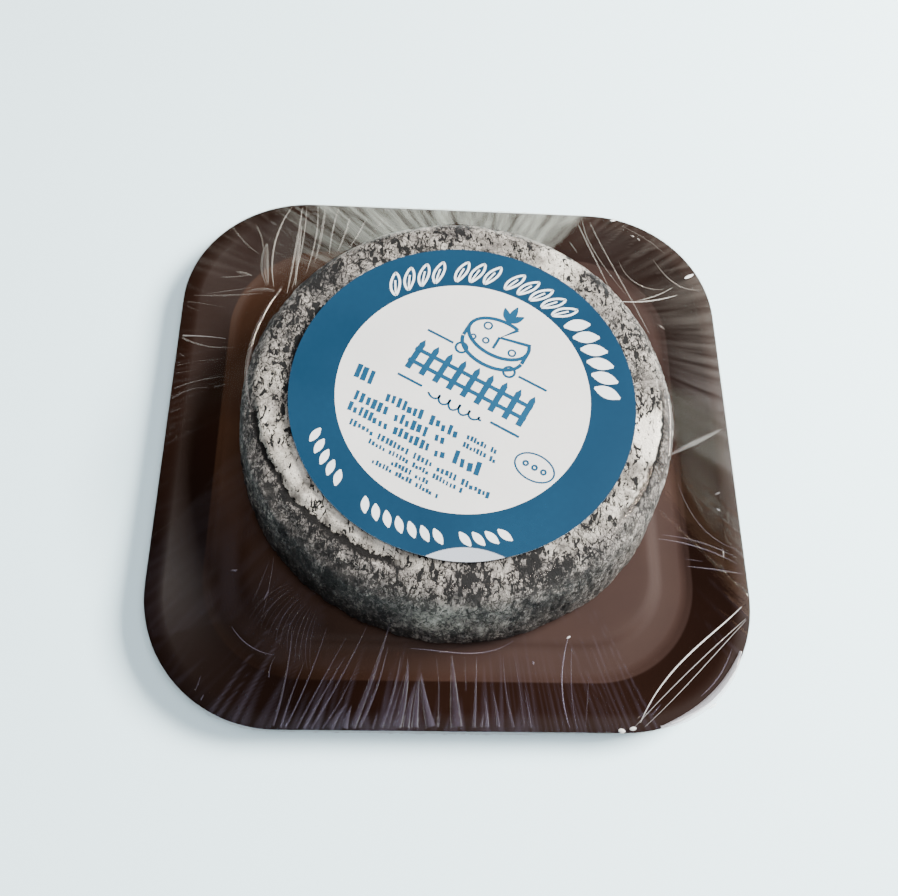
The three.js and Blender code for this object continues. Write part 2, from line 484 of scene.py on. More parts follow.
    # fine splits between plates of dried rind
    drift = patterns["drift"].outputs["Color"]
    bent = node("VectorMath", [drift, (3, 3, 3), upright], operation="MULTIPLY_ADD")
    plates = node("TexVoronoi", {"Vector": bent, "Scale": 0.42}, feature="DISTANCE_TO_EDGE")
    dried = node("Math", [patterns["dried"], ashAndShade], operation="ADD")
    dried = [node("MapRange", [plates, 0.050, 0.018]), node("MapRange", [dried, 0.62, 0.88])]
    marks.append(node("Math", dried, operation="MULTIPLY"))
    dark = marks[0]
    for mark in marks[1:]:
        dark = node("Math", [dark, mark], operation="MAXIMUM")
    paler = node("Math", [side, -0.20, 1.0], operation="MULTIPLY_ADD")
    dark = node("Math", [dark, paler], operation="MULTIPLY")
    tone = node("Mix", {0: dark, 6: tone, 7: "#141516"}, data_type="RGBA")
    tone = node("Mix", {0: split, 6: tone, 7: "#070707"}, data_type="RGBA")
    # darker in the grain's hollows
    hollowDarkening = node("Mix", {0: 0.45, 6: tone, 7: "#707070"}, data_type="RGBA", blend_type="MULTIPLY")
    hollow = node("MapRange", [patterns["grain"], 0.62, 0.38])
    tone = node("Mix", {0: hollow, 6: tone, 7: hollowDarkening}, data_type="RGBA")

    height = node("Math", [patterns["islands"], 1.5, patterns["grain"]], operation="MULTIPLY_ADD")
    sunk = node("Math", [node("Math", [dark, split], operation="MAXIMUM"), 1.4], operation="MULTIPLY")
    height = node("Math", [height, sunk], operation="SUBTRACT")
    bump = node("Bump", {"Height": height, "Strength": 0.7, "Distance": 0.28 * mm})
    shader = node("BsdfPrincipled", {"Base Color": tone, "Roughness": 0.82, "IOR": 1.42,
                                     "Specular IOR Level": 0.3, "Normal": bump})
    node("OutputMaterial", {"Surface": shader})
    return material


def makeWheel():
    middle, size = middleOf("cheese_wheel")
    radius = size.x / 2
    calm()
    bpy.ops.mesh.primitive_cylinder_add(vertices=160, radius=radius, depth=size.z, location=middle)
    piece = bpy.context.object
    settle(piece)
    top = middle.z + size.z / 2
    narrow = 1 - wheel["taper"] * mm / radius
    pick(piece, faceTest=lambda centre, normal: normal.z > 0.9)
    bpy.ops.transform.resize(value=(narrow, narrow, 1), center_override=(middle.x, middle.y, top))
    for level, width in ((top, wheel["shoulder"]), (middle.z - size.z / 2, wheel["foot"])):
        pick(piece, edgeTest=lambda a, b: abs(a.z - level) < 1e-6 and abs(b.z - level) < 1e-6)
        bpy.ops.mesh.bevel(offset=width * mm, segments=8, affect="EDGES", profile=0.5)
    bpy.ops.object.mode_set(mode="OBJECT")
    applyModifier(piece, "REMESH", mode="VOXEL", voxel_size=wheel["voxel"] * mm, use_smooth_shade=True)
    applyModifier(piece, "SMOOTH", factor=0.5, iterations=6)
    weather(piece, middle, size)
    return finishPiece(piece, "cheese_rind", rindMaterial(), "rind", "cheese_wheel")


def weather(piece, middle, size):
    # moves every point of the plain wheel as draining, ageing and handling do
    mesh = piece.data
    points = pointsOf(mesh) / mm - np.array(middle) / mm
    normals = pointsOf(mesh, "normal")
    around = np.degrees(np.arctan2(points[:, 1], points[:, 0]))
    away = np.hypot(points[:, 0], points[:, 1])
    half = size.z / mm / 2
    onSide = 1 - smooth(normals[:, 2], 0.35, 0.85)
    onTop = smooth(normals[:, 2], 0.25, 0.8)
    under = smooth(-normals[:, 2], 0.3, 0.8)

    lumpSize, lumpDepth = wheel["lumps"]
    wrinkleSize, wrinkleDepth = wheel["wrinkle"]
    pitSize, pitDepth = wheel["pits"]
    crackWidth, crackDepth = wheel["crack"]
    turned = np.radians(around)
    outline = np.stack([np.cos(turned) * 1.6, np.sin(turned) * 1.6, points[:, 2] / 40], 1)
    shift = wheel["wobble"] * noiseOver(outline, 1.0, 2, 4.0) * onSide
    shift += lumpDepth * noiseOver(points, lumpSize, 3, 11.0)
    upright = points * np.array([1, 1, 0.16])
    crease = 1 - np.abs(noiseOver(upright, wrinkleSize * 2, 3, 23.0)) * 2.2
    crease = np.clip(crease, 0, 1) ** 2
    rough = byAngle([(-180, 0.8), (-150, 1.0), (-120, 1.0), (-90, 0.6), (-60, 0.5), (0, 0.5), (90, 0.6),
                     (180, 0.8)], around)
    shift -= wrinkleDepth * crease * onSide * rough
    pits = smooth(noiseOver(points, pitSize * 2, 3, 31.0), 0.25, 0.6)
    shift -= pitDepth * pits

    # the white crust stands over the side and ends in a ragged, undercut edge
    stray = byAngle(crustAt, around) + wheel["crustStray"] * noiseOver(outline * 4, 1.0, 3, 57.0)
    stray += 0.5 * noiseOver(points, 1.6, 2, 63.0)
    show = byAngle(crustBreak, around) * (1 - under) * (points[:, 2] > 0)
    gap = np.exp(-((away - stray) / crackWidth) ** 2) * show
    beyond = smooth(away - stray, -0.2, 1.2) * show * onTop
    shift -= crackDepth * gap + wheel["step"] * beyond
    shift = np.where(points[:, 2] > half - 6, np.minimum(shift, 0.12), shift)
    shift *= 1 - under

    over = away + (half - points[:, 2])
    broken = byAngle(crustBreak, around)
    edge = byAngle(ashFrom, around) + 0.8 * noiseOver(points, 2.5, 3, 71.0)
    edge = edge * (1 - broken) + stray * broken
    spread = byAngle(ashSpread, around)
    # ash down the side, mixed with painted light and shade
    ashAndShade = byAngle(sideAshAndShade, around) * smooth((over - edge) / spread, -1, 1)
    # darker toward the foot, most at the front left
    ashAndShade = np.maximum(ashAndShade, byAngle(footDarkening, around) * smooth(over, 50, 62))
    ashAndShade = np.maximum(ashAndShade, byAngle(ashOver, around) * (1 - under))
    for angle, place, size_, strength in ashTop:
        spot = np.array([math.cos(math.radians(angle)) * place, math.sin(math.radians(angle)) * place])
        near = np.exp(-((points[:, :2] - spot) ** 2).sum(1) / size_ ** 2) * strength * onTop
        ashAndShade = np.maximum(ashAndShade, near)
    for angle, place, size_, strength in clean:
        spot = np.array([math.cos(math.radians(angle)) * place, math.sin(math.radians(angle)) * place])
        near = np.exp(-(((points[:, :2] - spot) ** 2).sum(1) / size_ ** 2) ** 1.5) * strength
        ashAndShade = np.where((over < edge) | (angle == -95), ashAndShade * (1 - near) - 0.35 * near, ashAndShade)
    ashAndShade = np.clip(ashAndShade, -0.4, 1)

    points += normals * shift[:, None]
    movePoints(mesh, points + np.array(middle) / mm)
    addLayer(mesh, "ashAndShade", ashAndShade)
    addLayer(mesh, "side", smooth(over, 40.5, 45))
    addLayer(mesh, "rim", np.clip(over - stray, -3, 3))
    addLayer(mesh, "crust", smooth(broken, 0.3, 0.85))


makeWheel()
print("cheese wheel")

# stretch film: pulled over the cheese and round the tray, heat-sealed underneath

film = {
    # side, corner radius, height and bend of the edges it is pulled over
    "lip": (119.5, 27.1, 6.25, 0.52),
    "foot": (96.6, 20.3, 0.54, 0.42),
    # circle that the wheel's shoulder bends about, its height, the film's bend over it
    "crown": (38.3, 18.8, 4.95),
    "axis": (0.6, 2.0),
    "lean": 0.30,       # how far the lines of pull swing toward the wheel's axis
    "sag": 0.55,
    "vent": 5.0,        # radius of the hole left under the tray
    "veilAbove": 6,     # lower down, past the lip, no painted reflection is added
    # columns in each side and corner, from the right side round to the front right corner
    "columns": (180, 90, 250, 100, 200, 110, 380, 130),
    "rows": (9, 33, 7),
}

# pleats: from and to (degrees round), how many, widths, how far up they start, heights, slants, whitening and
# painted highlight
pleats = [
    (-128, -100, 26, (0.8, 2.0), (0.30, 0.90), (0.14, 0.40), (-2.0, 0.5), 0.05),
    (-103, -78, 22, (1.0, 3.0), (0.35, 0.90), (0.14, 0.42), (-1.2, 1.2), 0.045),
    (-82, -58, 34, (0.5, 1.2), (0.05, 0.60), (0.04, 0.14), (-0.5, 0.5), 0.035),
    (-172, -126, 26, (0.8, 2.4), (0.45, 0.92), (0.08, 0.30), (-3.0, 3.0), 0.01),
    (150, 188, 24, (0.5, 1.3), (0.30, 0.90), (0.05, 0.16), (-1.5, 1.5), 0.04),
    (112, 148, 16, (1.0, 4.0), (0.05, 0.70), (0.10, 0.35), (-2.5, 2.5), 0.03),
    (68, 114, 40, (0.5, 2.4), (0.05, 0.80), (0.04, 0.20), (-3.0, 3.0), 0.05),
    (38, 64, 22, (0.8, 2.4), (0.10, 0.80), (0.08, 0.34), (-4.0, 4.0), 0.04),
    (4, 38, 12, (0.8, 3.0), (0.10, 0.70), (0.06, 0.20), (-2.0, 2.0), 0.01),
    (-44, 2, 16, (0.5, 1.6), (0.40, 0.95), (0.04, 0.16), (-2.0, 2.0), 0.02),
]

# creases by where they lie: width, whitening, path seen from above. The points were picked by eye, but a
# separate measuring script turned them into mm and printed this table, so it isn't worked out here
# whitening: how milky a crease is and how bright its painted highlight; those near 1 are painted glints,
# drawn fully white
creases = {
    "backLeft": [
        (0.5, 0.7, [(-37.6, 58.2), (-39.6, 50.2), (-39.7, 37.1), (-38.5, 28.4)]),
        (2.4, 0.2, [(-41.9, 44.1), (-41.4, 36.3), (-40.0, 29.4)]),
        (0.6, 0.6, [(-35.2, 57.8), (-34.9, 42.2), (-35.2, 24.9)]),
        (0.4, 0.5, [(-34.2, 58.2), (-33.6, 38.2), (-34.2, 25.9)]),
        (0.9, 0.5, [(-34.5, 49.4), (-34.1, 36.5), (-33.6, 26.9)]),
        (0.4, 0.5, [(-31.6, 57.8), (-30.8, 41.1), (-31.6, 30.1)]),
        (0.8, 0.3, [(-29.9, 57.8), (-29.7, 40.8), (-30.1, 33.0)]),
        (0.4, 0.45, [(-26.7, 57.6), (-27.2, 42.2), (-27.2, 35.7)]),
        (0.6, 0.35, [(-23.7, 52.0), (-24.5, 41.6), (-25.3, 35.9)]),
        (0.4, 0.45, [(-20.0, 50.9), (-21.7, 40.9), (-22.9, 36.5)]),
        (0.3, 0.35, [(-15.8, 50.8), (-18.3, 41.5)]),
    ],
    "topLeft": [
        (1.2, 0.5, [(-44.6, 29.1), (-41.0, 28.5), (-38.1, 26.8)]),
        (0.5, 0.6, [(-57.4, 32.5), (-50.6, 30.1), (-40.8, 27.3)]),
        (0.35, 0.5, [(-54.4, 31.8), (-48.4, 30.8), (-43.8, 30.1)]),
        (1.0, 0.55, [(-47.8, 36.4), (-45.8, 35.1), (-44.0, 33.9)]),
        (0.4, 0.6, [(-51.4, 35.7), (-47.6, 34.7), (-44.3, 34.3)]),
        (0.5, 0.3, [(-51.1, 52.6), (-47.0, 45.7), (-43.4, 41.0)]),
        (0.4, 0.35, [(-45.5, 52.2), (-43.0, 45.2), (-42.2, 40.6)]),
    ],
    "left": [
        (0.3, 0.5, [(-58.7, 31.2), (-54.0, 28.9), (-48.7, 26.0)]),
        (0.25, 0.4, [(-58.6, 30.0), (-55.3, 27.5)]),
        (0.45, 0.9, [(-58.8, 22.5), (-53.4, 20.3), (-47.9, 17.5)]),
        (0.5, 0.7, [(-58.8, 22.0), (-56.0, 19.7), (-51.3, 16.9), (-45.0, 14.1)]),
        (0.3, 0.4, [(-59.0, 18.1), (-57.3, 16.4)]),
        (0.3, 0.5, [(-59.1, 15.2), (-53.9, 14.4)]),
        (0.25, 0.35, [(-53.9, 14.4), (-46.1, 11.9)]),
        (0.3, 0.5, [(-59.1, 13.2), (-53.8, 12.3)]),
        (0.35, 0.7, [(-59.1, 9.6), (-55.7, 9.7), (-50.8, 8.7), (-46.8, 7.7)]),
        (0.35, 0.7, [(-59.2, 7.3), (-56.9, 7.8), (-50.5, 6.5)]),
        (0.35, 0.55, [(-49.1, 6.1), (-45.8, 5.5)]),
        (0.35, 0.6, [(-59.3, 4.0), (-55.6, 4.1)]),
        (0.25, 0.45, [(-59.0, 0.2), (-57.5, 0.4)]),
    ],
    "lowerLeft": [
        (0.25, 0.5, [(-41.5, -42.4), (-38.5, -45.5), (-35.4, -47.1), (-33.6, -47.5)]),
        (0.3, 0.55, [(-35.6, -38.1), (-35.1, -37.1), (-34.7, -36.4)]),
        (0.5, 0.6, [(-42.2, -32.4), (-41.0, -32.5)]),
        (0.2, 0.2, [(-35.7, -40.2), (-34.4, -34.2), (-34.0, -30.8)]),
        (0.2, 0.2, [(-37.7, -38.3), (-35.9, -34.1), (-34.9, -31.6)]),
        (0.25, 0.3, [(-47.9, -53.3), (-47.0, -50.7)]),
        (0.3, 0.5, [(-46.8, -55.0), (-46.3, -54.0)]),
    ],
    "front": [
        (0.3, 0.45, [(-34.2, -51.3), (-33.9, -49.3), (-33.0, -47.7)]),
        (0.5, 0.5, [(-33.1, -59.4), (-31.6, -52.8), (-30.2, -47.9), (-30.2, -42.9)]),
        (0.45, 0.55, [(-31.8, -59.7), (-29.7, -53.7), (-27.5, -48.5)]),
        (0.4, 0.6, [(-30.9, -59.7), (-27.7, -52.9), (-25.1, -48.0), (-23.8, -43.3)]),
        (0.5, 0.5, [(-28.9, -59.8), (-25.2, -53.4), (-22.9, -49.5), (-20.1, -45.0)]),
        (0.6, 0.55, [(-27.5, -59.8), (-24.2, -54.3), (-21.6, -50.2), (-20.2, -48.1)]),
        (0.55, 0.55, [(-26.2, -59.8), (-22.3, -53.7), (-19.3, -48.6), (-16.3, -43.1)]),
        (0.4, 0.5, [(-24.2, -59.8), (-21.0, -55.2), (-17.8, -48.9)]),
        (0.9, 0.6, [(-22.7, -59.8), (-21.3, -57.5), (-19.7, -55.7)]),
        (0.9, 0.65, [(-20.1, -59.7), (-19.5, -57.5), (-18.9, -56.0)]),
        (0.8, 0.55, [(-18.7, -59.6), (-16.2, -54.4), (-14.7, -49.5), (-12.2, -42.9)]),
        (0.7, 0.6, [(-17.4, -59.5), (-14.8, -54.2), (-13.1, -49.2), (-12.5, -46.5)]),
        (0.6, 0.5, [(-15.0, -59.7), (-14.0, -57.1)]),
        (0.7, 0.55, [(-13.3, -59.5), (-11.8, -55.5), (-10.8, -52.0), (-10.1, -48.0)]),
        (0.5, 0.45, [(-12.1, -59.5), (-10.7, -55.1), (-9.2, -50.7)]),
        (1.0, 0.6, [(-10.4, -59.5), (-9.1, -53.9), (-8.8, -48.5)]),
        (0.9, 0.5, [(-8.7, -59.5), (-8.0, -55.1), (-7.2, -52.2)]),
        (0.9, 0.6, [(-7.1, -59.5), (-6.9, -55.1), (-6.5, -51.3)]),
        (1.2, 0.6, [(-4.1, -59.4), (-5.4, -55.1), (-6.3, -50.6)]),
        (0.5, 0.4, [(-2.8, -59.4), (-2.5, -57.3)]),
        (0.35, 0.35, [(-3.0, -59.4), (-2.9, -53.5), (-3.7, -47.9)]),
        (1.6, 0.45, [(0.7, -59.4), (0.1, -55.0), (-0.8, -47.9)]),
        (0.3, 0.3, [(2.1, -53.4), (1.6, -47.9)]),
        (0.6, 0.6, [(3.9, -59.4), (3.9, -53.4), (3.8, -47.9)]),
        (0.7, 0.6, [(6.3, -59.3), (6.1, -56.6), (5.6, -54.5)]),
        (0.6, 0.5, [(5.2, -59.3), (5.6, -56.9)]),
        (0.7, 0.55, [(8.5, -59.3), (7.8, -55.8), (7.1, -53.4)]),
        (0.6, 0.4, [(11.3, -59.3), (9.9, -54.9), (8.7, -47.8)]),
        (0.6, 0.45, [(14.5, -59.3), (13.7, -55.7), (13.0, -53.0)]),
        (0.4, 0.3, [(13.2, -59.3), (12.1, -53.3), (10.5, -47.0)]),
    ],
    "frontRight": [
        (0.35, 0.8, [(20.8, -44.4), (20.0, -46.8), (20.2, -53.2), (21.9, -59.2)]),
        (0.5, 1.0, [(20.4, -44.6), (21.1, -44.2)]),
        (0.25, 0.45, [(21.5, -46.1), (21.9, -53.2), (23.2, -59.2)]),
        (0.3, 0.3, [(25.0, -51.5), (24.9, -59.2)]),
        (0.35, 0.8, [(14.3, -48.5), (14.5, -49.0)]),
        (0.25, 0.6, [(-8.3, -46.8), (-2.3, -47.3), (3.5, -47.4), (8.0, -46.6), (10.4, -45.3)]),
    ],
    "corner": [
        (0.42, 1.0, [(35.3, -58.2), (37.3, -54.8), (41.2, -49.4), (47.1, -44.2), (57.5, -35.7)]),
        (0.2, 0.93, [(33.8, -59.4), (38.9, -54.7), (44.9, -48.7), (51.6, -43.5), (58.3, -37.9)]),
        (0.17, 0.93, [(36.3, -58.9), (42.1, -53.7), (48.8, -47.3), (54.2, -42.1), (58.3, -38.3)]),
        (0.2, 0.6, [(34.7, -57.6), (36.9, -55.5), (37.8, -54.1)]),
        (1.2, 1.0, [(31.2, -59.6), (32.5, -59.8)]),
        (1.0, 1.0, [(33.3, -59.4), (34.6, -59.2)]),
        (0.4, 0.4, [(37.4, -57.0), (39.3, -55.0)]),
        (2.4, 0.91, [(39.4, -59.0), (45.1, -56.7), (49.4, -54.1), (52.2, -51.4), (54.4, -48.4),
                     (56.6, -44.4)]),
        (0.8, 1.0, [(48.9, -55.4), (50.6, -54.5)]),
        (0.4, 1.0, [(41.5, -58.2), (45.8, -56.4), (50.2, -53.8)]),
        (0.25, 0.7, [(47.5, -53.2), (51.6, -49.2), (54.4, -44.4)]),
    ],
    "right": [
        (1.1, 0.4, [(-40.3, -1.6), (-41.8, 4.4), (-41.9, 11.5), (-40.8, 17.5), (-39.0, 22.4), (-36.5, 27.5)]),
        (1.2, 0.5, [(41.3, 8.7), (42.0, 2.4), (42.3, -4.0), (41.6, -9.4)]),
        (0.4, 0.4, [(38.7, -25.7), (45.4, -25.5), (57.6, -26.9)]),
        (0.35, 0.35, [(39.6, -24.8), (46.6, -24.5), (57.6, -25.6)]),
        (0.4, 0.4, [(45.2, -29.7), (51.1, -29.3), (58.7, -28.8)]),
        (0.25, 0.25, [(44.8, -28.4), (48.8, -28.2)]),
        (1.4, 0.45, [(41.9, -8.9), (48.8, -3.8), (57.7, 3.1)]),
        (0.5, 0.7, [(53.6, -13.2), (55.2, -12.2)]),
        (0.6, 0.8, [(53.6, -16.4), (54.5, -16.4)]),
        (0.5, 0.4, [(54.1, -24.3), (54.1, -26.3)]),
        (0.3, 0.35, [(43.7, -14.2), (48.1, -20.7), (52.9, -23.2), (58.2, -23.7)]),
    ],
    "topRight": [
        (0.5, 0.6, [(29.0, 56.4), (29.6, 44.9), (31.0, 36.1), (31.8, 29.2)]),
        (0.35, 0.45, [(30.6, 56.9), (31.2, 41.4), (33.4, 33.2), (36.0, 28.6)]),
        (0.45, 0.6, [(32.2, 56.1), (34.0, 42.5), (35.3, 31.6), (38.4, 25.6), (39.9, 18.5)]),
        (0.3, 0.45, [(25.3, 44.1), (26.4, 39.5)]),
        (0.35, 0.5, [(36.7, 40.9), (38.9, 34.1), (42.4, 34.2), (46.6, 35.0)]),
        (0.5, 0.8, [(33.5, 24.9), (40.5, 28.0), (47.3, 33.5), (50.7, 34.7)]),
        (0.4, 0.6, [(38.8, 27.9), (43.6, 31.5), (49.6, 37.0)]),
        (0.4, 0.55, [(46.2, 44.9), (49.1, 39.8), (53.5, 37.8), (57.8, 39.6)]),
        (1.1, 1.0, [(53.7, 41.5), (56.4, 43.8)]),
        (0.8, 1.0, [(37.7, 58.0), (39.1, 58.5)]),
        (0.6, 0.8, [(41.9, 52.7), (42.7, 52.6)]),
        (0.6, 0.8, [(43.3, 52.0), (43.9, 51.4)]),
        (0.3, 0.4, [(40.1, 56.2), (44.3, 54.1), (47.3, 49.9), (49.9, 48.7)]),
        (0.4, 0.6, [(43.3, 22.7), (44.8, 22.2)]),
    ],
}
# a fan of hair-thin lines beside the wheel's foot: ends of the first and of the last, how many, width
fan = (((-31.0, -35.2), (-39.0, -40.6)), ((-25.6, -41.3), (-26.4, -50.5)), 18, 0.2)


def addFan():
    first, last, count, width = fan
    for i in range(count):
        ends = [[a + (b - a) * i / (count - 1) for a, b in zip(*pair)] for pair in zip(first, last)]
        (startX, startY), (endX, endY) = ends
        bow = 0.5 + 0.12 * (i * 5 % 7)
        path = [(startX, startY), ((startX + endX) / 2 - bow, (startY + endY) / 2 + bow * 0.4), (endX, endY)]
        creases["lowerLeft"].append((width, 0.07 + 0.03 * (i * 3 % 5), path))


# a crease stands up as a thin ridge on the film
creaseForm = {
    "rise": 0.34,       # how high for its width
    "narrow": 0.75,     # how wide for its listed width
    "lift": 0.04,       # how far it stands off the film
    "step": 0.7,        # how far apart its points are
    "castFrom": 40,     # height from which the film under it is looked for
}
# how pale creases are, as whitening and painted highlight, where it is not the usual 0.15
creasePaleness = {"backLeft": 0.27, "topLeft": 0.22, "topRight": 0.26, "front": 0.11}


def filmMaterial():
    # clear PVC wrap: mirror-like sheen that strengthens as it turns away, tinted warm like the room it
    # mirrors, and a milky layer for whitened creases, painted highlights and glints, and painted reflections
    material, node = newMaterial("clear_stretch_film")
    drape = node("Attribute", attribute_name="drape").outputs["Vector"]
    polish = node("Attribute", attribute_name="polish").outputs["Fac"]
    hazeAndGlare = node("Attribute", attribute_name="hazeAndGlare").outputs["Fac"]
    along = node("Mapping", {"Vector": drape, "Scale": (0.75, 0.07, 0)})
    fine = node("TexNoise", {"Vector": along, "Scale": 1.0, "Detail": 4, "Roughness": 0.6, "Distortion": 0.4})
    lift = node("Math", [fine, node("SeparateXYZ", [drape]).outputs["Z"]], operation="MULTIPLY")
    bump = node("Bump", {"Height": lift, "Strength": 0.5, "Distance": 0.35 * mm})
    fresnel = node("Fresnel", {"IOR": 1.5, "Normal": bump})
    sheen = node("MapRange", [fresnel, 0.04, 0.30, 0.05, 0.125])
    sheen = node("Math", [sheen, polish], operation="MULTIPLY")
    gloss = node("BsdfGlossy", {"Color": "#FFEBD9", "Roughness": 0.1, "Normal": bump},
                 distribution="BECKMANN")
    clear = node("BsdfTransparent", {"Color": "#FAF8F7"})
    skin = node("MixShader", [sheen, clear, gloss])
    # the milky layer, for whitened film and painted highlights and reflections, is bluish in the front and
    # warm behind, and plain white where it is strongest, as in the painted glints
    ahead = node("SeparateXYZ", [node("TexCoord").outputs["Object"]]).outputs["Y"]
    paleness = node("ValToRGB", [node("MapRange", [ahead, -55 * mm, 30 * mm])],
                 [(0.0, "#CBC4E6"), (0.35, "#D2CBE2"), (0.6, "#E8E2E4"), (1.0, "#EDE6DC")])
    paleness = node("Mix", {0: node("MapRange", [hazeAndGlare, 0.2, 0.4]), 6: paleness, 7: "#FBFAF8"}, data_type="RGBA")
    milkAndGlare = node("MixShader", [0.4, node("BsdfDiffuse", [paleness]), node("BsdfTranslucent", [paleness])])
    node("OutputMaterial", {"Surface": node("MixShader", [hazeAndGlare, skin, milkAndGlare])})
    return material


def filmColumns():
    # for every column: which way its edge faces, the corner of the square it is measured from
    turns, anchors = [], []
    for i, count in enumerate(film["columns"]):
        start = math.radians(90 * (i // 2))
        out = np.array([math.cos(start), math.sin(start)])
        along = np.array([-math.sin(start), math.cos(start)])
        share = np.linspace(0, 1, count, endpoint=False)[:, None]
        if i % 2 == 0:
            turns.append(np.full(count, start))
            anchors.append(out + (2 * share - 1) * along)
        else:
            turns.append(start + share[:, 0] * math.pi / 2)
            anchors.append(np.repeat([out + along], count, 0))
    turns = np.concatenate(turns)
    return turns, np.concatenate(anchors), np.stack([np.cos(turns), np.sin(turns)], 1)


def filmRows():
    # rows of points from the middle of the top, over the shoulder, down to the lip and in under the tray
    turns, anchors, facing = filmColumns()
    axis = np.array(film["axis"])
    lipSide, lipCorner, lipHeight, lipBend = film["lip"]
    footSide, footCorner, footHeight, footBend = film["foot"]
    crownRadius, crownHeight, crownBend = film["crown"]
    lip = (lipSide / 2 - lipCorner) * anchors + lipCorner * facing
    foot = (footSide / 2 - footCorner) * anchors + footCorner * facing
    toLip = np.arctan2(lip[:, 1] - axis[1], lip[:, 0] - axis[0])
    swing = (toLip - turns + math.pi) % (2 * math.pi) - math.pi
    theta = turns + film["lean"] * swing
    crown = axis + crownRadius * np.stack([np.cos(theta), np.sin(theta)], 1)
    over = lip - crown
    reach = np.linalg.norm(over, axis=1)
    over /= reach[:, None]
    fall = lipHeight - crownHeight
    leave = np.arctan2(fall, reach) + np.arccos((crownBend - lipBend) / np.hypot(fall, reach))
    under = foot - lip
    inward = np.linalg.norm(under, axis=1)
    tuck = np.arctan2(-inward, lipHeight - footHeight)

    def leaning(direction, angle):
        return np.column_stack([direction * np.cos(angle)[:, None], np.sin(angle)])

    def bent(middle, height, bend, direction, angle):
        flat = middle + direction * (bend * np.cos(angle))[:, None]
        return np.column_stack([flat, height + bend * np.sin(angle)])

    shoulderRows, slopeRows, lipRows = film["rows"]
    top = crownHeight + crownBend
    rows, slope, normals = [], [], []

    def add(points, share, normal):
        rows.append(points)
        slope.append(np.full(len(points), share) if np.isscalar(share) else share)
        normals.append(normal)

    up = np.tile([0.0, 0.0, 1.0], (len(turns), 1))
    for share in (0.0, 0.5, 0.82, 0.94):
        add(np.column_stack([axis + (crown - axis) * share, np.full(len(turns), top)]), -1.0, up)
    for i in range(shoulderRows):
        angle = math.pi / 2 + (leave - math.pi / 2) * i / (shoulderRows - 1)
        add(bent(crown, crownHeight, crownBend, over, angle), 0.0, leaning(over, angle))
    start = bent(crown, crownHeight, crownBend, over, leave)
    end = bent(lip, lipHeight, lipBend, over, leave)
    outward = leaning(over, leave)
    corner = np.abs(np.sin(2 * toLip)) ** 2
    for i in range(1, slopeRows + 1):
        share = (i / slopeRows) ** 0.9
        sag = film["sag"] * 4 * share * (1 - share) * (0.5 + 1.5 * corner)
        add(start + (end - start) * share - outward * sag[:, None], share, outward)
    for i in range(1, lipRows + 1):
        angle = leave + (tuck - leave) * i / lipRows
        add(bent(lip, lipHeight, lipBend, over, angle), 1.0, leaning(over, angle))
    first = rows[-1]
    inner = (foot - lip) / inward[:, None]
    last = bent(foot, footHeight, footBend, -inner, tuck)
    away = leaning(-inner, tuck)
    for share in (0.3, 0.65, 1.0):
        add(first + (last - first) * share, 1 + share, away)
    for share in (0.5, 1.0):
        angle = tuck + (-math.pi / 2 - tuck) * share
        add(bent(foot, footHeight, footBend, -inner, angle), 2.0, away)
    base = footHeight - footBend
    vent = film["vent"] * foot / np.linalg.norm(foot, axis=1)[:, None]
    for share in (0.35, 0.7, 1.0):
        add(np.column_stack([foot + (vent - foot) * share, np.full(len(turns), base)]), 2.0, -up)
    return np.array(rows), np.array(slope), np.array(normals), lip - axis


def pleated(rows, slope, normals, lip):
    # narrow folds that start part way down and widen to the lip, where the film is gathered
    axis = np.array(film["axis"])
    around = np.unwrap(np.arctan2(lip[:, 1], lip[:, 0]))
    length = np.concatenate([[0], np.cumsum(np.linalg.norm(np.diff(lip, axis=0), axis=1))])
    radial = np.arctan2(rows[..., 1] - axis[1], rows[..., 0] - axis[0])
    radial = around[0] + (radial - around[0]) % (2 * math.pi)
    place = np.interp(radial, around, length)
    whole = length[-1] + np.linalg.norm(lip[0] - lip[-1])
    drop = np.zeros(slope.shape)
    hazeAndGlare = np.zeros(slope.shape)
    dice = random.Random(41)
    inSlope = (slope > 0) & (slope < 1.9)
    fade = np.where(slope > 1, 1.9 - slope, 1.0) * inSlope
    for low, high, count, widths, starts, heights, slants, whiteningAndGlare in pleats:
        for i in range(count):
            angle = math.radians(low + (high - low) * (i + dice.uniform(0.1, 0.9)) / count)
            middle = np.interp(around[0] + (angle - around[0]) % (2 * math.pi), around, length)
            width, start = dice.uniform(*widths), dice.uniform(*starts)
            height, slant = dice.uniform(*heights), dice.uniform(*slants)
            paleness = dice.uniform(0.2, 1) * whiteningAndGlare
            share = np.clip((np.minimum(slope, 1) - start) / (1 - start), 0, 1)
            gap = (place - middle - slant * (1 - share) + whole / 2) % whole - whole / 2
            ridge = np.clip(1 - np.abs(gap) / (width * (0.2 + 0.8 * share)), 0, 1) * (share > 0)
            drop = np.maximum(drop, height * ridge * share ** 0.7)
            hazeAndGlare = np.maximum(hazeAndGlare, paleness * np.clip(ridge * 3 - 1.7, 0, 1) * share ** 0.5)
    rows = rows + normals * (drop * fade)[..., None]
    return rows, hazeAndGlare * fade, place


def insideOf(outline, points):
    # which places lie inside a closed outline
    inside = np.zeros(len(points), dtype=bool)
    for (ax, ay), (bx, by) in zip(outline, outline[1:] + outline[:1]):
        crosses = (points[:, 1] < ay) != (points[:, 1] < by)
        inside ^= crosses & (points[:, 0] < ax + (points[:, 1] - ay) * (bx - ax) / ((by - ay) or 1e-9))
    return inside


